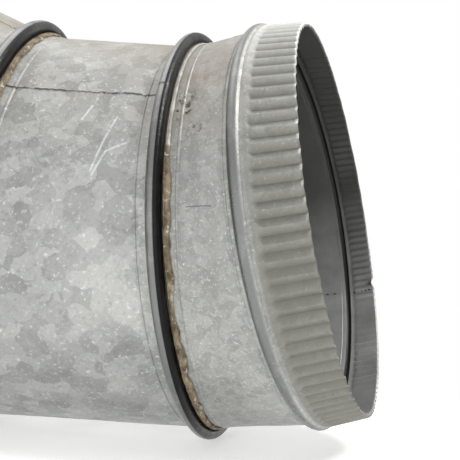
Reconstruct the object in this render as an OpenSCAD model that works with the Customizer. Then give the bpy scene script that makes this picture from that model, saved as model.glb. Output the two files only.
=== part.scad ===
// Round sheet-metal duct elbow of four gores that are beaded together and sealed.
// The bend lies flat in the XY plane. The origin is the centre of the plain end's rim,
// the duct runs from there along +Y and bends towards +X.

/* [Duct] */
// Outside diameter of the duct at both ends
duct_d = 254; // [150:1:320]
// Thickness of the sheet
sheet_t = 0.7; // [0.5:0.05:1]

/* [Bend] */
// Turn at each beaded joint
joint_turn = 30; // [20:1:32]
// Distance from a full gore's creases to the crossing of its two axes
gore_reach = 68; // [56:1:90]
// Length of an end gore's body along its axis
end_len = 54; // [48:1:120]

/* [Beaded joint] */
// How far the joints are swelled out beyond the duct's radius
joint_swell = 7; // [3:0.5:8]
// Width of the outer bead
bead_w = 6; // [5:0.5:8]
// Height of the outer bead above the swelled joint
bead_h = 6; // [4:0.5:8]
// Fillet at the outer bead's foot
bead_foot_r = 1; // [0.5:0.1:1.5]
// Clearance between the outer bead and the bead nested inside it
nest_gap = 0.35; // [0.25:0.05:0.5]
// Height of the outer sheet's edge above the inner sheet
lip_gap = 1.5; // [1.2:0.1:2]
// Smooth band between the outer bead and its crease
band_w = 6.5; // [4:0.5:10]
// Smooth band between the outer bead and the inner sheet's crease
spigot_w = 6; // [5:0.5:9]
// Length of the inner sheet behind its nested bead
tail_w = 3; // [2:0.5:4]
// Height of the rolled line where a round band meets a gore's body
crease_h = 0.4; // [0.35:0.05:0.6]

/* [Set sealant] */
// How far the sealant reaches beyond the outer bead
sealant_w = 3.4; // [2:0.1:4.5]
// Thickness of the sealant on the inner sheet
sealant_h = 1.1; // [0.6:0.1:1.1]

/* [Plain end] */
// Straight length of the plain end
plain_len = 40; // [25:1:80]

/* [Crimped end] */
// Distance from the end gore's crease to the middle of the stop bead
stop_at = 5; // [4.5:0.5:12]
// Width of the stop bead
stop_w = 6; // [5:0.5:7]
// Height of the stop bead
stop_h = 2.2; // [1.5:0.1:2.4]
// Plain wall between the stop bead and the crimps
crimp_margin = 2; // [1.5:0.5:5]
// Length over which the crimps run in from the plain wall
crimp_run_in = 3; // [2:0.5:6]
// Full-depth length of the crimps
crimp_len = 17; // [10:1:30]
// Number of crimps around the end
crimp_count = 120; // [80:1:130]
// Depth of the crimps
crimp_depth = 1.6; // [1:0.1:2]
// How much the crimped rim draws in from the duct's radius
crimp_draw = 6; // [3:0.5:8]

/* [Lap seams] */
// Width of the lap
seam_w = 14; // [10:1:20]
// Place of each gore's lap around the duct, in degrees from the heel towards the top
seam_places = [60, 150, 174, 350];

/* [Hidden] */
$fn = 192;
// Flat facets around a gore's lofted body
body_sides = 96;
GALVANISED = [0.68, 0.70, 0.69];
SEALANT = [0.52, 0.45, 0.34];

duct_r = duct_d / 2;
joint_r = duct_r + joint_swell;
spigot_r = joint_r - sheet_t - nest_gap;
bead_half = bead_w / 2;
nest_half = bead_half - sheet_t - nest_gap;
band_end = bead_half + band_w;
spigot_end = bead_half + spigot_w;
end_turn = joint_turn / 2;

// Half the width of the rolled line, and the slot that it closes between band and body
crease_half = 0.6;
crease_slot = 0.3;
// How far helper shapes run past the faces that they cut
over = 1;
// Air between the sealant and the sheets that it lies on
seat_gap = 0.1;

stop_end = stop_at + stop_w / 2;
wall_end = stop_end + crimp_margin;
root_z = wall_end - 1;
full_z = wall_end + crimp_run_in;
rim_z = full_z + crimp_len;
// The crimped sheet's root is thinner by this much on each side, inside the plain wall
root_inset = 0.12;
// Places of a crimp's four corners across one pitch, and which of them are valleys
CRIMP_PHASE = [0.02, 0.26, 0.52, 0.76];
CRIMP_VALLEY = [0, 0, 1, 1];

// Moves from a gore's first crease to its second, by way of the crossing of their axes
module to_crease_2(turn, near, far) {
    translate([0, 0, near])
        rotate([0, -turn, 0])
            translate([0, 0, far])
                children();
}

// Places around a gore's section, each with the share of a second sheet that lies on it:
// the lap's free edge comes first, and its far side runs out into the wall
function lap_turn(r) = 360 * seam_w / (2 * PI * r);
function section_places(r) = [
    [0, 0],
    [lap_turn(r) * 0.02, 1],
    [lap_turn(r) * 0.4, 0.75],
    for (i = [0:body_sides - 1]) [lap_turn(r) + (360 - lap_turn(r)) * i / body_sides, 0]
];

// One ring of sheet between two round creases, lofted straight from the first to the second
module gore_body(r1, r2, turn, near, far, seam) {
    places = section_places(r1);
    count = len(places);
    slot = crease_slot / 2;
    function on_1(r, a) = [r * cos(a), r * sin(a), slot];
    function on_2(r, a) = [
        r * cos(a) * cos(turn) - (far - slot) * sin(turn),
        r * sin(a),
        near + r * cos(a) * sin(turn) + (far - slot) * cos(turn)
    ];
    points = [
        for (p = places) on_1(r1 + p[1] * sheet_t, seam + p[0]),
        for (p = places) on_2(r2 + p[1] * sheet_t, seam + p[0]),
        for (p = places) on_1(r1 - sheet_t, seam + p[0]),
        for (p = places) on_2(r2 - sheet_t, seam + p[0])
    ];
    function at(row, i) = row * count + i % count;
    faces = [
        for (i = [0:count - 1]) each [
            [at(0, i), at(1, i), at(1, i + 1), at(0, i + 1)],
            [at(2, i), at(2, i + 1), at(3, i + 1), at(3, i)],
            [at(0, i), at(0, i + 1), at(2, i + 1), at(2, i)],
            [at(1, i), at(3, i), at(3, i + 1), at(1, i + 1)]
        ]
    ];
    polyhedron(points, faces, convexity = 6);
    crease(r1);
    to_crease_2(turn, near, far) crease(r2);
}

// Rolled line where a body meets its round band: it stands a little proud on both sides
module crease(r) {
    rotate_extrude()
        translate([r - sheet_t / 2, 0])
            polygon([
                for (side = [-1, 1]) each [
                    [side * (sheet_t / 2 + crease_h * 0.7), -side * crease_half],
                    [side * (sheet_t / 2 + crease_h), -side * crease_half * 0.5],
                    [side * (sheet_t / 2 + crease_h), side * crease_half * 0.5],
                    [side * (sheet_t / 2 + crease_h * 0.7), side * crease_half]
                ]
            ]);
}

// Arch of a bead's section, from its foot radius to its crown, centred on the joint's plane
module arch(half, foot, crown) {
    translate([crown - half, 0])
        circle(r = half, $fn = 48);
    translate([foot, -half])
        square([crown - half - foot, 2 * half]);
}

// Outer sheet at a joint: smooth band, bead, and a free edge over the inner sheet
module outer_joint() {
    crown = joint_r + bead_h;
    lip_r = spigot_r + lip_gap;
    rotate_extrude() {
        difference() {
            arch(bead_half, joint_r - sheet_t, crown);
            arch(bead_half - sheet_t, joint_r - sheet_t - over, crown - sheet_t);
            translate([joint_r - sheet_t - over, 0])
                square([lip_r - joint_r + sheet_t + over, bead_w]);
        }
        translate([joint_r - sheet_t, crease_slot / 2 - band_end])
            square([sheet_t, band_end - bead_half + sheet_t - crease_slot / 2]);
        difference() {
            translate([joint_r - sheet_t / 2, -bead_half - bead_foot_r])
                square([bead_foot_r + sheet_t / 2, bead_foot_r + sheet_t / 2]);
            translate([joint_r + bead_foot_r, -bead_half - bead_foot_r])
                circle(r = bead_foot_r, $fn = 32);
        }
    }
}

// Inner sheet at a joint: tail, nested bead, and a smooth band that comes out under the lip
module inner_joint() {
    crown = joint_r + bead_h - sheet_t - nest_gap;
    rotate_extrude() {
        difference() {
            union() {
                arch(nest_half, spigot_r - sheet_t, crown);
                translate([spigot_r - sheet_t, -nest_half - tail_w])
                    square([sheet_t, nest_half + tail_w + spigot_end - crease_slot / 2]);
            }
            arch(nest_half - sheet_t, spigot_r - sheet_t - over, crown - sheet_t);
        }
    }
}

// Plain round end that the next duct slips into
module plain_end() {
    rotate_extrude()
        translate([duct_r - sheet_t, 0])
            square([sheet_t, plain_len - crease_slot / 2]);
}

// Round wall with the stop bead rolled into it, open to the inside as the real roll is
module stop_wall() {
    roll_r = (stop_w * stop_w / 4 + stop_h * stop_h) / (2 * stop_h);
    roll_at = duct_r + stop_h - roll_r;
    rotate_extrude()
        difference() {
            union() {
                translate([duct_r - sheet_t, crease_slot / 2])
                    square([sheet_t, wall_end - crease_slot / 2]);
                intersection() {
                    translate([roll_at, stop_at])
                        circle(r = roll_r, $fn = 48);
                    translate([duct_r - sheet_t, stop_at - stop_w])
                        square([stop_h + 2 * sheet_t, 2 * stop_w]);
                }
            }
            translate([roll_at, stop_at])
                circle(r = roll_r - sheet_t, $fn = 48);
        }
}

// Radius of one corner of the crimped sheet: station 0 is the root, 1 full depth, 2 the rim
function crimp_r(station, corner, inside) =
    duct_r
    - (station == 0 ? root_inset : 0)
    - (station == 1 ? crimp_draw * crimp_run_in / (crimp_run_in + crimp_len) : 0)
    - (station == 2 ? crimp_draw : 0)
    - (station > 0 ? crimp_depth * CRIMP_VALLEY[corner] : 0)
    - (inside ? sheet_t - (station == 0 ? 2 * root_inset : 0) : 0);

// Crimps: one corrugated ring of sheet, four corners to a crimp, drawn in towards the rim
module crimps() {
    corners = 4 * crimp_count;
    heights = [root_z, full_z, rim_z];
    points = [
        for (inside = [false, true])
            for (station = [0:2])
                for (i = [0:corners - 1])
                    let (
                        turn = 360 / crimp_count * (floor(i / 4) + CRIMP_PHASE[i % 4]),
                        r = crimp_r(station, i % 4, inside)
                    )
                        [r * cos(turn), r * sin(turn), heights[station]]
    ];
    function at(inside, station, i) = (inside * 3 + station) * corners + i % corners;
    outer_faces = [
        for (station = [0:1]) for (i = [0:corners - 1])
            [at(0, station, i), at(0, station + 1, i), at(0, station + 1, i + 1), at(0, station, i + 1)]
    ];
    inner_faces = [
        for (station = [0:1]) for (i = [0:corners - 1])
            [at(1, station, i), at(1, station, i + 1), at(1, station + 1, i + 1), at(1, station + 1, i)]
    ];
    rim_faces = [
        for (i = [0:corners - 1])
            [at(0, 2, i), at(1, 2, i), at(1, 2, i + 1), at(0, 2, i + 1)]
    ];
    root_faces = [
        for (i = [0:corners - 1])
            [at(0, 0, i), at(0, 0, i + 1), at(1, 0, i + 1), at(1, 0, i)]
    ];
    polyhedron(points, concat(outer_faces, inner_faces, rim_faces, root_faces), convexity = 6);
}

// Bead of set sealant on the inner sheet, running out from under the outer sheet's edge
module sealant_ring() {
    from_z = nest_half + sheet_t;
    long = bead_half + sealant_w - from_z;
    rotate_extrude()
        translate([spigot_r + seat_gap, from_z]) {
            square([sealant_h, long - sealant_h]);
            intersection() {
                translate([0, long - sealant_h])
                    circle(r = sealant_h, $fn = 32);
                translate([0, -over])
                    square([sealant_h, long + 2 * over]);
            }
        }
}

// Steps along the duct: from the plain rim to joint 1, from a joint to the next, and to the crimped end
module to_joint_1() {
    translate([0, 0, plain_len])
        to_crease_2(end_turn, end_len, 0)
            translate([0, 0, band_end])
                children();
}
module to_next_joint() {
    translate([0, 0, spigot_end])
        to_crease_2(joint_turn, gore_reach, gore_reach)
            translate([0, 0, band_end])
                children();
}
module to_crimped_end() {
    translate([0, 0, spigot_end])
        to_crease_2(end_turn, 0, end_len)
            children();
}
module to_joint(number) {
    if (number == 1) {
        to_joint_1() children();
    } else {
        to_joint(number - 1) to_next_joint() children();
    }
}
// Lays the bend flat, with the duct leaving the plain rim along +Y
module lay_flat() {
    rotate([-90, 180, 0])
        children();
}

module gore_1() {
    color(GALVANISED)
        lay_flat() {
            plain_end();
            translate([0, 0, plain_len])
                gore_body(duct_r, joint_r, end_turn, end_len, 0, seam_places[0]);
            to_joint(1) outer_joint();
        }
}

module middle_gore(number) {
    color(GALVANISED)
        lay_flat()
            to_joint(number - 1) {
                inner_joint();
                translate([0, 0, spigot_end])
                    gore_body(spigot_r, joint_r, joint_turn, gore_reach, gore_reach, seam_places[number - 1]);
                to_next_joint() outer_joint();
            }
}

module gore_4() {
    color(GALVANISED)
        lay_flat()
            to_joint(3) {
                inner_joint();
                translate([0, 0, spigot_end])
                    gore_body(spigot_r, duct_r, end_turn, 0, end_len, seam_places[3]);
                to_crimped_end() {
                    stop_wall();
                    crimps();
                }
            }
}

module sealant(number) {
    color(SEALANT)
        lay_flat()
            to_joint(number)
                sealant_ring();
}

gore_1();
middle_gore(2);  // gore_2
middle_gore(3);  // gore_3
gore_4();
sealant(1);  // sealant_1
sealant(2);  // sealant_2
sealant(3);  // sealant_3
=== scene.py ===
# %% [markdown]
# # A galvanised duct elbow
# An elbow like this is four rolled sheets, called gores, that hook into each other at beaded joints.
# The CAD model fixes every size, so this lesson starts by loading it, and then dresses each gore with
# a finer sheet, a crimped collar, ragged sealant and weathered zinc.

import math

import bmesh
import bpy
from mathutils import Matrix, Vector, noise


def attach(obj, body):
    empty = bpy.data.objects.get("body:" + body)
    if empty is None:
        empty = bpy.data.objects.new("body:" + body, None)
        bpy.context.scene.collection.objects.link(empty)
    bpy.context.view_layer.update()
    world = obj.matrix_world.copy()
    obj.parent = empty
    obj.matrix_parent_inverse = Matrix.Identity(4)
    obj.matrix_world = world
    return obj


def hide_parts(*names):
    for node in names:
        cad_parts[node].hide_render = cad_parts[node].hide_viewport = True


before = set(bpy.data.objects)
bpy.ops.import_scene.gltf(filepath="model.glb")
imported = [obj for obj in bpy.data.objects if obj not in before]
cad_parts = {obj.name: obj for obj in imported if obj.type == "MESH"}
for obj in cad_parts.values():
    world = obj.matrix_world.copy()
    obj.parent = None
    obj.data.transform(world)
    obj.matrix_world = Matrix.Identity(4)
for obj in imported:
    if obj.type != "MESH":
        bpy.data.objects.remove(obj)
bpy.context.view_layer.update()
print("nodes:", sorted(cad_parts))

# %% [markdown]
# ## The sizes of the sheet
# Every size here repeats one of the CAD model's, in metres. Keeping them in one place means that a
# dressed gore lands exactly on the solid that it stands for.

# %% Sizes repeated from the CAD model
MM = 0.001
DUCT_R = 127 * MM
SHEET = 0.7 * MM
JOINT_R = 134 * MM
SPIGOT_R = JOINT_R - 1.05 * MM
BEAD_HALF = 3 * MM
BEAD_HIGH = 6 * MM
NEST_HALF = 1.95 * MM
BAND_END = 9.5 * MM
SPIGOT_END = 9 * MM
PLAIN_LEN = 40 * MM
END_LEN = 54 * MM
GORE_REACH = 68 * MM
JOINT_TURN = math.radians(30)
SEAMS = {"gore_1": 60, "gore_2": 150, "gore_3": 174, "gore_4": 350}
SEAM_W = 14 * MM
print("joint radius", round(JOINT_R, 4), "m")

# %% [markdown]
# ## Where the joints stand
# Each joint is a flat ring, and a gore runs from one ring to the next, which is tilted. A 4x4 matrix
# says where a ring stands and which way it faces. Multiplying matrices walks along the duct, one
# straight or one turn at a time, which is easier to follow than working out the places by hand.


# %% Frames of the plain end, the joints and the collar
def along(length):
    return Matrix.Translation((0, 0, length))


def bend(turn, near, far):
    return along(near) @ Matrix.Rotation(-turn, 4, "Y") @ along(far)


PLAIN_AT = Matrix.Rotation(math.pi, 4, "Y") @ Matrix.Rotation(-math.pi / 2, 4, "X")
JOINT_1 = PLAIN_AT @ along(PLAIN_LEN) @ bend(JOINT_TURN / 2, END_LEN, 0) @ along(BAND_END)
NEXT = along(SPIGOT_END) @ bend(JOINT_TURN, GORE_REACH, GORE_REACH) @ along(BAND_END)
JOINT_2 = JOINT_1 @ NEXT
JOINT_3 = JOINT_2 @ NEXT
COLLAR = JOINT_3 @ along(SPIGOT_END) @ bend(JOINT_TURN / 2, 0, END_LEN)
for name, matrix in {"joint 1": JOINT_1, "joint 3": JOINT_3, "collar": COLLAR}.items():
    print(name, "stands at", [round(v, 4) for v in matrix.translation])

# %% [markdown]
# ## The camera
# The duct lies on its beads, and the photograph is taken from just above the floor, looking up into
# the crimped end. The three directions below are the picture's right, up and back.

# %% Camera
CAMERA_AT = Vector((0.32803, 0.0874, -0.10736))
PICTURE_RIGHT = Vector((0.8876, 0.45762, 0.0524))
PICTURE_UP = Vector((0.14274, -0.38143, 0.91331))
PICTURE_BACK = Vector((0.43793, -0.80318, -0.40388))
camera_data = bpy.data.cameras.new("camera")
camera_data.sensor_width = 36
camera_data.lens = 26.902
camera_data.clip_start = 0.01
camera = bpy.data.objects.new("camera", camera_data)
axes = Matrix((PICTURE_RIGHT, PICTURE_UP, PICTURE_BACK)).transposed()
camera.matrix_world = Matrix.LocRotScale(CAMERA_AT, axes.to_quaternion(), None)
bpy.context.scene.collection.objects.link(camera)
bpy.context.scene.camera = camera
print("camera stands", round((CAMERA_AT.z + 0.14) * 1000), "mm above the floor")

# %% [markdown]
# ## The section of a joint
# A sheet's section is a line of points, each a radius and a place along the duct. The outer sheet
# ends in a tall round bead, and the inner sheet has a lower one nested inside it. An arc of a few
# points makes each crown. Drawing the section first and turning it round is how a lathe part is made.


# %% Section lines
def arc(r, z, size, start, stop, steps):
    turns = [math.radians(start + (stop - start) * i / steps) for i in range(steps + 1)]
    return [(r + size * math.cos(t), z + size * math.sin(t)) for t in turns]


def rolled_line(r, z):
    high = r + 0.4 * MM
    return [(r, z - 0.7 * MM), (high, z - 0.3 * MM), (high, z + 0.3 * MM), (r, z + 0.7 * MM)]


def outer_section():
    crown = JOINT_R + BEAD_HIGH - BEAD_HALF
    foot = arc(JOINT_R + MM, -BEAD_HALF - MM, MM, 180, 90, 4)
    lip = [(JOINT_R + 0.45 * MM, BEAD_HALF)]
    line = rolled_line(JOINT_R, -BAND_END)
    return line + foot + arc(crown, 0, BEAD_HALF, -90, 90, 12) + lip


def inner_section():
    crown = SPIGOT_R + BEAD_HIGH - NEST_HALF
    tail = [(SPIGOT_R, -NEST_HALF - 3 * MM), (SPIGOT_R, -NEST_HALF)]
    line = rolled_line(SPIGOT_R, SPIGOT_END)
    return tail + arc(crown, 0, NEST_HALF, -90, 90, 8) + [(SPIGOT_R, NEST_HALF)] + line


print("outer section has", len(outer_section()), "points, inner section", len(inner_section()))

# %% [markdown]
# ## Turning a section into a gore
# `bmesh.ops.spin` turns the whole section round once and closes it. That gives a straight tube, so a
# second step bends it: points before the body follow the first ring, points after it follow the
# second, and the body's points run straight between the two. Beside the lap's free edge one column
# of points is drawn close and raised by a sheet's thickness, which makes the step of the overlap.

# %% Helpers that make a gore
JAG = 0.006
TUBE_BODY = 0.2
DENT = 0.35 * MM
# Where the painted shade on an outer bead's front flank begins
SHADED_FLANK_FROM = 1.4 * MM
BEAD_SHOWS_AT = 1.6 * MM
SHARP_FROM = math.radians(38)
COLUMNS = 240


def ring_noise(scale, c, s, third):
    """Smooth noise that meets itself after a turn round the duct."""
    return noise.noise(Vector((scale * c, scale * s, third)))


def spun(section, start, steps):
    bm = bmesh.new()
    c, s = math.cos(start), math.sin(start)
    verts = [bm.verts.new((r * c, r * s, z)) for r, z in section]
    edges = [bm.edges.new(pair) for pair in zip(verts, verts[1:])]
    bmesh.ops.spin(
        bm, geom=verts + edges, cent=(0, 0, 0), axis=(0, 0, 1), angle=2 * math.pi,
        steps=steps, use_merge=True,
    )
    return bm


def bead_share(height):
    """0 on the plain sheet, 1 where a bead stands well proud of it."""
    return min(1, max(0, height / BEAD_SHOWS_AT - 0.3))


def bent_tube(near, body_r, far, ring_1, ring_2, seam, steps, body_rows):
    """Spins near + body + far and bends it from ring_1 to ring_2."""
    first_z, last_z = near[-1][1], far[0][1]
    shift = first_z + TUBE_BODY - last_z
    r1, r2 = near[-1][0], far[0][0]
    rows = [
        (r1 + (r2 - r1) * i / body_rows, first_z + TUBE_BODY * i / body_rows)
        for i in range(1, body_rows)
    ]
    section = near + rows + [(r, z + shift) for r, z in far]
    start = math.radians(seam)
    bm = spun(section, start, steps)
    column = 2 * math.pi / steps
    lap = SEAM_W / body_r
    edge_layer = bm.verts.layers.float.new("lap_edge")
    bead_layer = bm.verts.layers.float.new("bead")
    shaded_flank_layer = bm.verts.layers.float.new("flank")
    for v in bm.verts:
        r = math.hypot(v.co.x, v.co.y)
        a = (math.atan2(v.co.y, v.co.x) - start) % (2 * math.pi)
        if a > 2 * math.pi - column / 2:
            a = 0
        if column / 2 < a < column * 1.5:
            a = 0.002
        share = max(0, 1 - a / lap) if a > 0 else 0
        v[edge_layer] = 1 if a < 0.003 else 0
        c, s = math.cos(a + start), math.sin(a + start)
        z = v.co.z
        if z <= first_z + 1e-7:
            v[bead_layer] = bead_share(r - r1)
            v.co = ring_1 @ Vector((r * c, r * s, z))
        elif z >= first_z + TUBE_BODY - 1e-7:
            v[bead_layer] = bead_share(r - r2)
            outer_bead = r2 < JOINT_R + 0.1 * MM < r
            # Painted shade: the outer bead's front flank is marked to be painted near-black
            v[shaded_flank_layer] = 1 if outer_bead and z - shift > SHADED_FLANK_FROM else 0
            v.co = ring_2 @ Vector((r * c, r * s, z - shift))
        else:
            k = (z - first_z) / TUBE_BODY
            if a < 0.003:
                a += JAG * noise.noise(Vector((34 * k, 2.2, seam)))
                c, s = math.cos(a + start), math.sin(a + start)
            dent = DENT * ring_noise(9, c, s, 5 * k + seam)
            dent += DENT * 1.2 * ring_noise(2.3, c, s, 1.5 * k + seam)
            lift = SHEET * share + dent * min(1, 6 * k, 6 * (1 - k))
            p1 = ring_1 @ Vector(((r1 + lift) * c, (r1 + lift) * s, first_z))
            p2 = ring_2 @ Vector(((r2 + lift) * c, (r2 + lift) * s, last_z))
            v.co = p1.lerp(p2, k)
    return bm


def finished(bm, name, nodes, materials, wall=SHEET, core=None):
    """Makes the bmesh a smooth-shaded piece on the duct, with a sheet's thickness inwards."""
    bmesh.ops.recalc_face_normals(bm, faces=bm.faces)
    if core:
        outward = sum(f.calc_area() * f.normal.dot(f.calc_center_median() - core) for f in bm.faces)
        if outward < 0:
            bmesh.ops.reverse_faces(bm, faces=bm.faces)
    mesh = bpy.data.meshes.new(name)
    bm.to_mesh(mesh)
    bm.free()
    mesh.shade_smooth()
    mesh.set_sharp_from_angle(angle=SHARP_FROM)
    piece = bpy.data.objects.new(name, mesh)
    bpy.context.scene.collection.objects.link(piece)
    if wall:
        thick = piece.modifiers.new("sheet thickness", "SOLIDIFY")
        thick.thickness = wall
        thick.offset = -1
        thick.use_even_offset = True
        thick.material_offset = len(materials) - 1
    for material in materials:
        mesh.materials.append(material)
    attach(piece, "root")
    if nodes:
        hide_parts(*nodes)
    print(name, "has", len(mesh.polygons), "faces")


def middle(ring_1, ring_2):
    return ring_1.translation.lerp(ring_2.translation, 0.5)


# %% [markdown]
# ## Weathered zinc
# Hot-dipped zinc freezes in crystals, so the sheet shows patches of slightly different grey, called
# spangle. Voronoi cells, pushed out of line by noise, give the patches, and finer noise gives the
# cloudy white bloom and the grain. Handling leaves warm dirt, most of it on the upper side.


# %% Node helpers
def new_material(name):
    material = bpy.data.materials.new(name)
    material.use_nodes = True
    return material, material.node_tree.nodes["Principled BSDF"]


class Wiring:
    """Adds nodes to one material and joins them."""

    def __init__(self, material):
        self.tree = material.node_tree

    def add(self, kind, **settings):
        node = self.tree.nodes.new(kind)
        for key, value in settings.items():
            setattr(node, key, value)
        return node

    def join(self, source, target):
        self.tree.links.new(source, target)

    def coords(self):
        return self.add("ShaderNodeTexCoord").outputs["Object"]

    def clouds(self, where, scale, detail=4.0, rough=0.55, distortion=0.0):
        node = self.add("ShaderNodeTexNoise")
        node.inputs["Scale"].default_value = scale
        node.inputs["Detail"].default_value = detail
        node.inputs["Roughness"].default_value = rough
        node.inputs["Distortion"].default_value = distortion
        self.join(where, node.inputs["Vector"])
        return node.outputs["Fac"]

    def cells(self, where, scale):
        node = self.add("ShaderNodeTexVoronoi")
        node.inputs["Scale"].default_value = scale
        self.join(where, node.inputs["Vector"])
        return node

    def ranged(self, value, low, high, to_low=0.0, to_high=1.0):
        node = self.add("ShaderNodeMapRange", clamp=True)
        self.join(value, node.inputs["Value"])
        for key, number in zip(("From Min", "From Max", "To Min", "To Max"), (low, high, to_low, to_high)):
            node.inputs[key].default_value = number
        return node.outputs["Result"]

    def maths(self, operation, a, b=0.0):
        node = self.add("ShaderNodeMath", operation=operation)
        for socket, value in zip(node.inputs, (a, b)):
            if isinstance(value, (int, float)):
                socket.default_value = value
            else:
                self.join(value, socket)
        return node.outputs[0]

    def blend(self, factor, a, b):
        node = self.add("ShaderNodeMix", data_type="RGBA")
        for key, value in (("Factor_Float", factor), ("A_Color", a), ("B_Color", b)):
            socket = next(s for s in node.inputs if s.identifier == key)
            if isinstance(value, (int, float)):
                socket.default_value = value
            elif isinstance(value, tuple):
                socket.default_value = (*value, 1)
            else:
                self.join(value, socket)
        return next(s for s in node.outputs if s.identifier == "Result_Color")

    def height(self, value, strength, distance, normal=None):
        node = self.add("ShaderNodeBump")
        node.inputs["Strength"].default_value = strength
        node.inputs["Distance"].default_value = distance
        self.join(value, node.inputs["Height"])
        if normal:
            self.join(normal, node.inputs["Normal"])
        return node.outputs["Normal"]

    def attribute(self, name):
        return self.add("ShaderNodeAttribute", attribute_name=name).outputs["Fac"]

    def axis(self, where, letter):
        node = self.add("ShaderNodeSeparateXYZ")
        self.join(where, node.inputs[0])
        return node.outputs[letter]


# %% [markdown]
# ## Marks at one place
# Some marks belong at one place: a stain, a few chalk strokes, a scratch. Each is a distance from a
# point or a line, turned into a number from 0 to 1 that later mixes two colours.

# %% Marks at one place
SQUEEZE = 0.15
RUST = (0.13, 0.055, 0.022)
# Near-black paint that stands in for the shade beside the joint beads
PAINTED_GAP_SHADE = (0.012, 0.012, 0.012)


def flattened(w, where):
    """Object coordinates squeezed along Y, so that a mark runs over the curved near side."""
    squeeze = w.add("ShaderNodeVectorMath", operation="MULTIPLY")
    w.join(where, squeeze.inputs[0])
    squeeze.inputs[1].default_value = (1, SQUEEZE, 1)
    return squeeze.outputs[0]


def spot(w, where, centre, radius):
    """1 at the centre, falling to 0 at the radius."""
    away = w.add("ShaderNodeVectorMath", operation="DISTANCE")
    w.join(where, away.inputs[0])
    away.inputs[1].default_value = centre
    return w.ranged(away.outputs["Value"], radius, 0)


def stroke(w, flat, start, end, width):
    """1 on the straight line between two points, falling to 0 half a width away."""
    a = Vector((start[0], start[1] * SQUEEZE, start[2]))
    line = Vector((end[0], end[1] * SQUEEZE, end[2])) - a
    from_a = w.add("ShaderNodeVectorMath", operation="SUBTRACT")
    w.join(flat, from_a.inputs[0])
    from_a.inputs[1].default_value = a
    dot = w.add("ShaderNodeVectorMath", operation="DOT_PRODUCT")
    w.join(from_a.outputs[0], dot.inputs[0])
    dot.inputs[1].default_value = line / line.length_squared
    share = w.ranged(dot.outputs["Value"], 0, 1)
    reach = w.add("ShaderNodeVectorMath", operation="SCALE")
    reach.inputs[0].default_value = line
    w.join(share, reach.inputs["Scale"])
    away = w.add("ShaderNodeVectorMath", operation="DISTANCE")
    w.join(from_a.outputs[0], away.inputs[0])
    w.join(reach.outputs[0], away.inputs[1])
    return w.ranged(away.outputs["Value"], width / 2, width / 5)


def brightest(w, marks):
    total = marks[0]
    for mark in marks[1:]:
        total = w.maths("MAXIMUM", total, mark)
    return total


def rusted(w, cloud):
    """The rust attribute, with its edge broken up by the clouds."""
    broken = w.ranged(cloud, 0, 1, -0.3, 0.3)
    return w.ranged(w.maths("ADD", w.attribute("rust"), broken), 0.3, 0.7)


# %% [markdown]
# ## The zinc's colour, layer by layer
# The colour starts as crystals and clouds. Every later line blends one more thing over it: grain,
# dirt, painted shade and a painted highlight on the collar, a stain, pits, strokes, and then what the
# sheet's shape asks for, read from the attributes that were stored on its points, painted shade among
# them. The two zinc materials are the same recipe with different amounts.

# %% The zinc sheet
CHALK = [
    ((0.2085, 0.1619, -0.0029), (0.2112, 0.1635, 0.0052)),
    ((0.2139, 0.1681, -0.0278), (0.2222, 0.1695, -0.0006)),
    ((0.2143, 0.1685, -0.0300), (0.2195, 0.1692, -0.0185)),
    ((0.2195, 0.1692, -0.0185), (0.2269, 0.1729, -0.0140)),
]
CHALK_WIDTH = 1.2 * MM
SCUFF = [((0.2520, 0.1880, -0.0430), (0.2631, 0.1895, -0.0440))]
SCUFF_WIDTH = 0.7 * MM
STAIN_AT = (0.252, 0.182, 0.018)
STAIN_REACH = 42 * MM
PITS_AT = [((0.2495, 0.182, 0.006), 12 * MM), ((0.2555, 0.1815, -0.010), 6 * MM)]
DARK_METAL = (0.19, 0.195, 0.19)
WARM_DIRT = (0.32, 0.29, 0.24)
# Painted shade for the collar's under side
UNDERSIDE_SHADE = (0.165, 0.163, 0.135)
# Painted shade for the crimp valleys
VALLEY_SHADE = (0.15, 0.148, 0.125)
# Painted highlight for the collar's upper side
TOP_HIGHLIGHT = (0.74, 0.74, 0.71)


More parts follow.
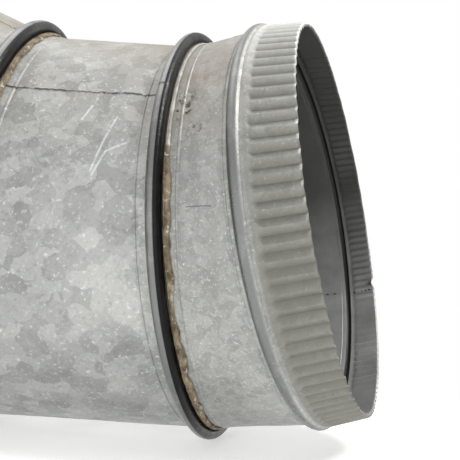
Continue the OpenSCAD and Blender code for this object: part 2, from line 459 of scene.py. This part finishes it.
def zinc(name, dark, light, patch, grain, dirt, wisps, strokes=(), scuffs=()):
    material, shader = new_material(name)
    w = Wiring(material)
    where = w.coords()
    up = w.axis(where, "Z")

    # Spangle
    push = w.add("ShaderNodeVectorMath", operation="MULTIPLY_ADD")
    wobble = w.add("ShaderNodeTexNoise")
    wobble.inputs["Scale"].default_value = 110
    wobble.inputs["Detail"].default_value = 3
    w.join(where, wobble.inputs["Vector"])
    w.join(wobble.outputs["Color"], push.inputs[0])
    push.inputs[1].default_value = (0.009, 0.009, 0.009)
    w.join(where, push.inputs[2])
    crystal = w.cells(push.outputs[0], patch)
    tone = w.axis(crystal.outputs["Color"], "X")
    cloud = w.clouds(where, 24, 6, 0.62)
    mixed = w.maths("ADD", w.maths("MULTIPLY", tone, 0.28), w.maths("MULTIPLY", cloud, 0.8))
    colour = w.blend(w.ranged(mixed, 0.25, 0.85), dark, light)

    # Wisps and grain
    feather = w.ranged(w.clouds(where, 120, 4, 0.6, 2.2), 0.46, 0.36)
    feather = w.maths("MULTIPLY", feather, w.ranged(w.clouds(where, 30, 2), 0.42, 0.58, 0, wisps))
    colour = w.blend(feather, colour, (0.20, 0.21, 0.20))
    sand = w.clouds(where, grain, 3, 0.75)
    colour = w.blend(w.ranged(sand, 0.44, 0.30, 0, 0.45), colour, (0.22, 0.22, 0.21))
    colour = w.blend(w.ranged(sand, 0.58, 0.72, 0, 0.75), colour, (0.78, 0.79, 0.77))

    # Dirt, more on the upper side; on the collar, painted shade darkens the under side and a painted
    # highlight lightens the upper side
    smear = w.ranged(w.clouds(where, 16, 6, 0.7), 0.30, 0.62)
    collar = w.attribute("collar")
    amount = w.ranged(collar, 0, 1, dirt, dirt * 0.35)
    grime = w.maths("MULTIPLY", w.maths("MULTIPLY", w.ranged(up, -0.02, 0.07), smear), amount)
    colour = w.blend(grime, colour, WARM_DIRT)
    # Painted shade and highlight: the collar is darker towards its under side and lighter towards its
    # upper side, set by height
    painted_underside_shade = w.maths("MULTIPLY", collar, w.ranged(up, 0.05, -0.07, 0.0, 0.72))
    colour = w.blend(painted_underside_shade, colour, UNDERSIDE_SHADE)
    painted_top_light = w.maths("MULTIPLY", collar, w.ranged(up, 0.0, 0.07, 0.0, 0.85))
    colour = w.blend(painted_top_light, colour, TOP_HIGHLIGHT)

    # A brown stain, with pits in it
    stain = w.maths("MULTIPLY", spot(w, where, STAIN_AT, STAIN_REACH), w.ranged(cloud, 0.38, 0.6))
    colour = w.blend(w.maths("MULTIPLY", stain, 0.75), colour, (0.20, 0.155, 0.115))
    pitted = brightest(w, [spot(w, where, place, reach) for place, reach in PITS_AT])
    pits = w.ranged(w.clouds(where, 260, 4, 0.75), 0.47, 0.40)
    pits = w.maths("MULTIPLY", pits, w.ranged(pitted, 0.1, 0.5))
    colour = w.blend(pits, colour, (0.05, 0.045, 0.04))

    # Chalk strokes and a scratch
    flat = flattened(w, where)
    if strokes:
        chalk = brightest(w, [stroke(w, flat, a, b, CHALK_WIDTH) for a, b in strokes])
        broken = w.ranged(w.clouds(where, 380, 3, 0.7), 0.30, 0.50, 0.15, 1)
        chalk = w.maths("MULTIPLY", w.maths("MULTIPLY", chalk, broken), 0.5)
        colour = w.blend(chalk, colour, (0.82, 0.84, 0.86))
    if scuffs:
        line = brightest(w, [stroke(w, flat, a, b, SCUFF_WIDTH) for a, b in scuffs])
        colour = w.blend(w.maths("MULTIPLY", line, 0.7), colour, (0.10, 0.10, 0.10))

    # What the shape asks for: dark beads, painted shade in the crimp valleys, painted shade on the beads'
    # front flanks, the lap's edge and rust
    worn = w.ranged(w.clouds(where, 90, 4, 0.65), 0.52, 0.70, 1.0, 0.6)
    bead = w.maths("MULTIPLY", w.ranged(w.attribute("bead"), 0.15, 0.75), worn)
    colour = w.blend(bead, colour, DARK_METAL)
    # Painted shade: the crimp valleys are darkened
    valley = w.maths("MULTIPLY", w.attribute("valley"), w.ranged(cloud, 0.3, 0.7, 0.65, 0.95))
    colour = w.blend(valley, colour, VALLEY_SHADE)
    # Painted shade: the beads' front flanks are painted near-black
    colour = w.blend(w.ranged(w.attribute("flank"), 0.3, 0.8), colour, PAINTED_GAP_SHADE)
    edge = w.ranged(w.attribute("lap_edge"), 0.82, 0.98)
    open_lap = w.ranged(w.clouds(where, 300, 3, 0.7), 0.32, 0.46, 0.35, 1)
    colour = w.blend(w.maths("MULTIPLY", edge, open_lap), colour, (0.035, 0.03, 0.03))
    rust = rusted(w, cloud)
    colour = w.blend(rust, colour, RUST)
    w.join(colour, shader.inputs["Base Color"])

    # Shine and fine relief
    rough = w.ranged(mixed, 0.25, 0.85, 0.56, 0.42)
    rough = w.maths("ADD", rough, w.maths("MULTIPLY", w.maths("ADD", grime, rust), 0.25))
    rough = w.maths("SUBTRACT", rough, w.maths("MULTIPLY", bead, 0.20))
    w.join(rough, shader.inputs["Roughness"])
    w.join(w.ranged(bead, 0, 1, 0.38, 0.85), shader.inputs["Metallic"])
    bump = w.height(sand, 0.35, 0.0005)
    bump = w.height(w.maths("SUBTRACT", w.maths("MULTIPLY", tone, 0.3), pits), 0.3, 0.0005, bump)
    w.join(bump, shader.inputs["Normal"])
    return material


ZINC_CLOUDY = zinc(
    "cloudy zinc", (0.235, 0.24, 0.23), (0.53, 0.535, 0.515), 120, 520, 0.9, 0.45, strokes=CHALK
)
ZINC_SANDY = zinc(
    "sandy zinc", (0.26, 0.265, 0.25), (0.47, 0.475, 0.455), 300, 800, 0.9, 0.15, scuffs=SCUFF
)


# %% [markdown]
# ## The air side
# The Solidify modifier gives the inner wall a material of its own. It is darker and plainer, with
# painted shade towards the top, and painted near-black shade in the hollows of the beads.

# %% The sheet's inner side
def zinc_inside():
    material, shader = new_material("zinc, air side")
    w = Wiring(material)
    where = w.coords()
    cloud = w.clouds(where, 30, 5, 0.6)
    colour = w.blend(w.ranged(cloud, 0.3, 0.7), (0.33, 0.335, 0.33), (0.55, 0.555, 0.545))
    # Painted shade: darker towards the top
    painted_top_shade = w.ranged(w.axis(where, "Z"), -0.03, 0.08, 0, 0.88)
    colour = w.blend(painted_top_shade, colour, (0.060, 0.063, 0.055))
    # Painted shade: near-black in the hollows of the beads
    painted_hollow_shade = w.ranged(w.attribute("bead"), 0.05, 0.5)
    colour = w.blend(painted_hollow_shade, colour, (0.015, 0.015, 0.015))
    colour = w.blend(rusted(w, cloud), colour, RUST)
    w.join(colour, shader.inputs["Base Color"])
    w.join(w.ranged(cloud, 0.3, 0.7, 0.5, 0.4), shader.inputs["Roughness"])
    shader.inputs["Metallic"].default_value = 0.5
    w.join(w.height(w.clouds(where, 600, 3, 0.7), 0.2, 0.0004), shader.inputs["Normal"])
    return material


ZINC_INSIDE = zinc_inside()
print("zinc materials:", ZINC_CLOUDY.name, ZINC_SANDY.name, ZINC_INSIDE.name)

# %% [markdown]
# ## Gores 1, 2 and 3
# The first gore starts with the plain end, and the next two are alike: an inner bead behind, a body,
# and an outer bead in front. One helper makes all three, given different sections and rings.

# %% Gores with an outer bead
plain_section = [(DUCT_R, 0), (DUCT_R, 0.3 * MM), (DUCT_R, 20 * MM), (DUCT_R, PLAIN_LEN - 4 * MM)]
plain_section += rolled_line(DUCT_R, PLAIN_LEN)
bm = bent_tube(
    plain_section, DUCT_R, outer_section(), PLAIN_AT, JOINT_1, SEAMS["gore_1"], COLUMNS, 24
)
finished(
    bm, "gore_1_sheet", ["gore_1"], [ZINC_CLOUDY, ZINC_INSIDE],
    core=middle(PLAIN_AT, JOINT_1),
)
for number, (ring_1, ring_2) in {2: (JOINT_1, JOINT_2), 3: (JOINT_2, JOINT_3)}.items():
    node = f"gore_{number}"
    bm = bent_tube(
        inner_section(), JOINT_R, outer_section(), ring_1, ring_2, SEAMS[node], COLUMNS, 48
    )
    finished(
        bm, node + "_sheet", [node], [ZINC_CLOUDY, ZINC_INSIDE],
        core=middle(ring_1, ring_2),
    )

# %% [markdown]
# ## The end gore and its crimped collar
# A crimper's jaws press the sheet's end into waves, so that it slips into the next duct. The section
# runs through the stop bead, and the waves are pressed in afterwards by moving the spun points
# towards the axis, deepest in the middle of each valley, which leaves the rounded starts.

# %% Gore 4
STOP_AT = 5 * MM
STOP_HIGH = 2.2 * MM
STOP_ROLL = 3.145 * MM
WALL_END = 10 * MM
RIM_AT = 30 * MM
CRIMPS = 120
CRIMP_POINTS = 6
CRIMP_DEEP = 1.6 * MM
CRIMP_DRAW = 6 * MM
CRIMP_RUN_IN = 3 * MM
FAINT_AT = 338
NOTCH_AT = 353
NOTCH_HALF = 2.6
NOTCH_DEEP = 2.2 * MM
stop_reach = math.degrees(math.acos((STOP_ROLL - STOP_HIGH) / STOP_ROLL))
stop_bead = arc(DUCT_R + STOP_HIGH - STOP_ROLL, STOP_AT, STOP_ROLL, -stop_reach, stop_reach, 10)
crimp_rows = [10, 10.6, 11.2, 11.8, 12.4, 13, 14, 17, 21, 25, 28.5, 30]
collar_section = rolled_line(DUCT_R, 0) + stop_bead
collar_section += [(DUCT_R, z * MM) for z in crimp_rows]
bm = bent_tube(
    inner_section(), DUCT_R, collar_section, JOINT_3, COLLAR, SEAMS["gore_4"],
    CRIMPS * CRIMP_POINTS, 12,
)
to_collar = COLLAR.inverted()
rust_layer = bm.verts.layers.float.new("rust")
valley_shade_layer = bm.verts.layers.float.new("valley")
collar_layer = bm.verts.layers.float.new("collar")


def degrees_off(a, place):
    """How far an angle in radians is from a place in degrees, either way round."""
    return abs((math.degrees(a) - place + 180) % 360 - 180)


for v in bm.verts:
    local = to_collar @ v.co
    if local.z < WALL_END - 1e-6:
        continue
    a = math.atan2(local.y, local.x)
    r = math.hypot(local.x, local.y)
    crimp = a * CRIMPS / (2 * math.pi)
    number = round(crimp)
    valley = 1 - 2 * abs(crimp - number)
    uneven = noise.noise(Vector((number * 1.7, 3.1, 0.4)))
    faint = 0.35 + 0.65 * min(1, max(0, (degrees_off(a, FAINT_AT) - 8) / 6))
    ramp = min(1, (local.z - WALL_END) / (CRIMP_RUN_IN * (1 + 0.35 * uneven)))
    ramp = ramp * ramp * (3 - 2 * ramp)
    pressed = max(0, valley - (1 - ramp))
    deep = pressed * CRIMP_DEEP * faint * (1 + 0.18 * uneven)
    # The valley share marks where the crimp valleys get painted shade
    v[valley_shade_layer] = pressed * faint
    v[collar_layer] = 1
    draw = CRIMP_DRAW * (local.z - WALL_END) / (RIM_AT - WALL_END)
    new_r = r - deep - draw
    at_rim = max(0, local.z / RIM_AT - 0.9) * 10
    z = local.z + 0.35 * MM * at_rim * noise.noise(Vector((a * 9, 0, 1.3)))
    off_notch = degrees_off(a, NOTCH_AT)
    if off_notch < NOTCH_HALF:
        notch = 1 - off_notch / NOTCH_HALF
        z -= NOTCH_DEEP * at_rim * notch
        v[rust_layer] = notch * max(0, (local.z / RIM_AT - 0.55) / 0.45)
    v.co = COLLAR @ Vector((new_r * math.cos(a), new_r * math.sin(a), z))
finished(
    bm, "gore_4_sheet", ["gore_4"], [ZINC_SANDY, ZINC_INSIDE],
    core=middle(JOINT_3, COLLAR),
)

# %% [markdown]
# ## Set sealant
# Someone ran sealant into each joint's gap, and it dried brown and ragged. It is matt and lumpy, with
# pale flecks, and black where it lies in the shade of the bead.


# %% Sealant material
def dried_sealant():
    material, shader = new_material("dried sealant")
    w = Wiring(material)
    where = w.coords()
    lumps = w.clouds(where, 190, 5, 0.7)
    colour = w.blend(w.ranged(lumps, 0.36, 0.62), (0.10, 0.072, 0.04), (0.33, 0.26, 0.165))
    fleck = w.ranged(w.clouds(where, 420, 2, 0.6), 0.60, 0.68)
    pale = w.maths("MAXIMUM", w.ranged(w.attribute("pale"), 0.35, 0.75), w.maths("MULTIPLY", fleck, 0.8))
    colour = w.blend(pale, colour, (0.60, 0.60, 0.56))
    # Painted shade: the sealant is painted near-black where it lies under the bead's lip
    colour = w.blend(w.ranged(w.attribute("shade"), 0.2, 0.7), colour, PAINTED_GAP_SHADE)
    w.join(colour, shader.inputs["Base Color"])
    shader.inputs["Roughness"].default_value = 0.85
    w.join(w.height(lumps, 0.8, 0.0015), shader.inputs["Normal"])
    return material


SEALANT = dried_sealant()

# %% [markdown]
# ## The rings of sealant
# What is left of the sealant differs round the joint, so a list gives the share that is left at some
# angles, and the angles between them get a share in proportion. The other two joints use noise.

# %% Sealant rings
SEALANT_FROM = 2.65 * MM
SEALANT_TO = 6.8 * MM
SEALANT_HIGH = 2.0 * MM
SHADE_SHARE = 0.16
# How much sealant is left round joint 3, at angles from the heel
LEFT_AT_3 = [(0, 0.5), (150, 0.12), (186, 0.2), (193, 0.9), (212, 0.85), (215, 0.3), (219, 0.3)]
LEFT_AT_3 += [(223, 1.0), (250, 1.0), (262, 0.8), (300, 0.6), (360, 0.5)]


def sealant_left(number, degrees):
    if number != 3:
        place = math.radians(degrees)
        return 0.6 + 0.5 * ring_noise(2, math.cos(place), math.sin(place), number)
    for (a, low_end), (b, high_end) in zip(LEFT_AT_3, LEFT_AT_3[1:]):
        if a <= degrees <= b:
            return low_end + (high_end - low_end) * (degrees - a) / (b - a)


low = SPIGOT_R + 0.02 * MM
hump = [(low, SEALANT_FROM), (low + 0.2 * MM, SEALANT_FROM + 0.1 * MM)]
hump += [(low + h * MM, SEALANT_FROM + z * MM) for h, z in ((0.3, 0.5), (1.5, 0.75), (2.0, 1.2))]
hump += arc(low, SEALANT_TO - SEALANT_HIGH, SEALANT_HIGH, 72, 0, 5)
hump += [(low, SEALANT_FROM + 2 * MM)]
for number, ring in enumerate((JOINT_1, JOINT_2, JOINT_3), 1):
    bm = spun(hump + hump[:1], 0, 540)
    bmesh.ops.remove_doubles(bm, verts=bm.verts, dist=1e-6)
    shade_layer = bm.verts.layers.float.new("shade")
    pale_layer = bm.verts.layers.float.new("pale")
    for v in bm.verts:
        a = math.atan2(v.co.y, v.co.x)
        r = math.hypot(v.co.x, v.co.y)
        left = sealant_left(number, math.degrees(a) % 360)
        forward = (v.co.z - SEALANT_FROM) / (SEALANT_TO - SEALANT_FROM)
        c, s = math.cos(a), math.sin(a)
        rag = ring_noise(14, c, s, number) + 0.8 * ring_noise(45, c, s, 9)
        v[shade_layer] = 1 if forward < SHADE_SHARE else 0
        v[pale_layer] = max(0, 1 - 2.5 * left) + max(0, 0.9 * forward * rag)
        z = SEALANT_FROM + (v.co.z - SEALANT_FROM) * (0.45 + 0.55 * left)
        z += forward * left * (rag * 1.5 - 0.3) * MM
        skin = 1 + 0.3 * ring_noise(60, c, s, z * 600)
        r = low + (r - low) * (0.3 + 0.7 * left) * skin
        v.co = ring @ Vector((r * c, r * s, z))
    finished(bm, f"sealant_{number}_bead", [f"sealant_{number}"], [SEALANT], wall=0)

# %% [markdown]
# ## Stitches along the lap
# Inside the end gore, the lap shows as a row of small dark marks where the two layers were tacked.
# Each is a flattened ball with few faces, laid on the inner wall with a matrix of its own.

# %% Seam stitches
STITCH_SIZE = (1.5 * MM, 0.8 * MM, 0.25 * MM)
WALL_GAP = 7 * MM
CRIMP_GAP = 3.6 * MM
RIM_R = DUCT_R - CRIMP_DRAW - 0.8 * MM
stitch_metal, shader = new_material("tacked metal")
w = Wiring(stitch_metal)
burnt = w.ranged(w.clouds(w.coords(), 700, 3), 0.35, 0.65)
w.join(w.blend(burnt, (0.02, 0.02, 0.02), (0.10, 0.09, 0.08)), shader.inputs["Base Color"])
shader.inputs["Roughness"].default_value = 0.6
shader.inputs["Metallic"].default_value = 0.5
seam_at = math.radians(SEAMS["gore_4"])
c, s = math.cos(seam_at), math.sin(seam_at)
wall_start = JOINT_3 @ Vector((SPIGOT_R * c, SPIGOT_R * s, SPIGOT_END))
wall_end = COLLAR @ Vector((DUCT_R * c, DUCT_R * s, 0))
rim = COLLAR @ Vector((RIM_R * c, RIM_R * s, RIM_AT))
crimp_start = COLLAR @ Vector((DUCT_R * c, DUCT_R * s, WALL_END))
inwards = COLLAR.to_3x3() @ Vector((-c, -s, 0))
bm = bmesh.new()
for start_point, end_point, gap in ((wall_start, wall_end, WALL_GAP), (crimp_start, rim, CRIMP_GAP)):
    line = end_point - start_point
    forward = line.normalized()
    turned = Matrix((forward, inwards.cross(forward), inwards)).transposed().to_4x4()
    for i in range(int(line.length / gap)):
        place = start_point + forward * gap * (i + 0.5) + inwards * (SHEET + 0.1 * MM)
        stitch_at = Matrix.Translation(place) @ turned @ Matrix.Diagonal((*STITCH_SIZE, 1))
        bmesh.ops.create_icosphere(bm, subdivisions=1, radius=1, matrix=stitch_at)
finished(bm, "seam_stitches", [], [stitch_metal], wall=0)

# %% [markdown]
# ## Floor, backdrop and light
# A product picture needs a pale floor and soft light from all round. The world and the floor are white
# where the camera sees them, and dimmer as lamps, so the sheet keeps its greys. The floor's share of
# that light comes from below and brightens the duct's under side.

# %% Floor and backdrop
FLOOR_AT = -0.1402
FLOOR_GLOW = 0.52
FLOOR_BOUNCE = 0.55
WORLD_LIGHT = 0.30


def seen_directly(w):
    """1 where the camera, a reflection or a clear material looks, 0 for light on its way."""
    path = w.add("ShaderNodeLightPath")
    seen = w.maths("MAXIMUM", path.outputs["Is Camera Ray"], path.outputs["Is Glossy Ray"])
    return w.maths("MAXIMUM", seen, path.outputs["Is Transmission Ray"])


floor_mesh = bpy.data.meshes.new("floor")
bm = bmesh.new()
bmesh.ops.create_grid(bm, x_segments=1, y_segments=1, size=6)
bm.to_mesh(floor_mesh)
bm.free()
floor_mesh.transform(Matrix.Translation((0, 0, FLOOR_AT)))
floor = bpy.data.objects.new("floor", floor_mesh)
bpy.context.scene.collection.objects.link(floor)
floor_material, shader = new_material("floor")
shader.inputs["Base Color"].default_value = (0.93, 0.93, 0.93, 1)
shader.inputs["Roughness"].default_value = 0.9
shader.inputs["Emission Color"].default_value = (1, 1, 1, 1)
w = Wiring(floor_material)
seen = seen_directly(w)
away = w.ranged(spot(w, w.coords(), (0.2, 0.25, -0.14), 1.1), 0.0, 0.75, 1.0, FLOOR_GLOW)
bounce = w.maths("MULTIPLY", w.maths("SUBTRACT", 1.0, seen), FLOOR_BOUNCE)
w.join(w.maths("ADD", w.maths("MULTIPLY", seen, away), bounce), shader.inputs["Emission Strength"])
floor_mesh.materials.append(floor_material)

world = bpy.data.worlds.new("studio")
world.use_nodes = True
bpy.context.scene.world = world
background = world.node_tree.nodes["Background"]
background.inputs["Color"].default_value = (1, 1, 1, 1)
w = Wiring(world)
w.join(w.ranged(seen_directly(w), 0, 1, WORLD_LIGHT, 1), background.inputs["Strength"])
print("world light", WORLD_LIGHT, "floor bounce", FLOOR_BOUNCE)


# %% [markdown]
# ## Three lamps
# A broad lamp overhead gives the even light, a lower one on the left models the round sides, and a
# small strong one reaches into the open end. None of them is seen by the camera itself.

# %% Lamps
def lamp(name, place, aim, size, power):
    data = bpy.data.lights.new(name, "AREA")
    data.shape = "DISK"
    data.size = size
    data.energy = power
    light = bpy.data.objects.new(name, data)
    towards = Vector(place) - Vector(aim)
    light.matrix_world = Matrix.LocRotScale(Vector(place), towards.to_track_quat("Z", "Y"), None)
    light.visible_camera = False
    bpy.context.scene.collection.objects.link(light)
    print(name, "is", round(towards.length, 2), "m away")


lamp("key", (0.1, -0.4, 1.2), (0.15, 0.25, 0), 1.0, 4.5)
lamp("side", (-0.9, -0.6, 0.35), (0.15, 0.25, 0), 0.7, 2.5)
lamp("opening", (1.15, 0.15, 0.95), (0.28, 0.33, -0.05), 0.4, 13)

# %% Finish
bpy.context.scene.view_settings.view_transform = "Standard"
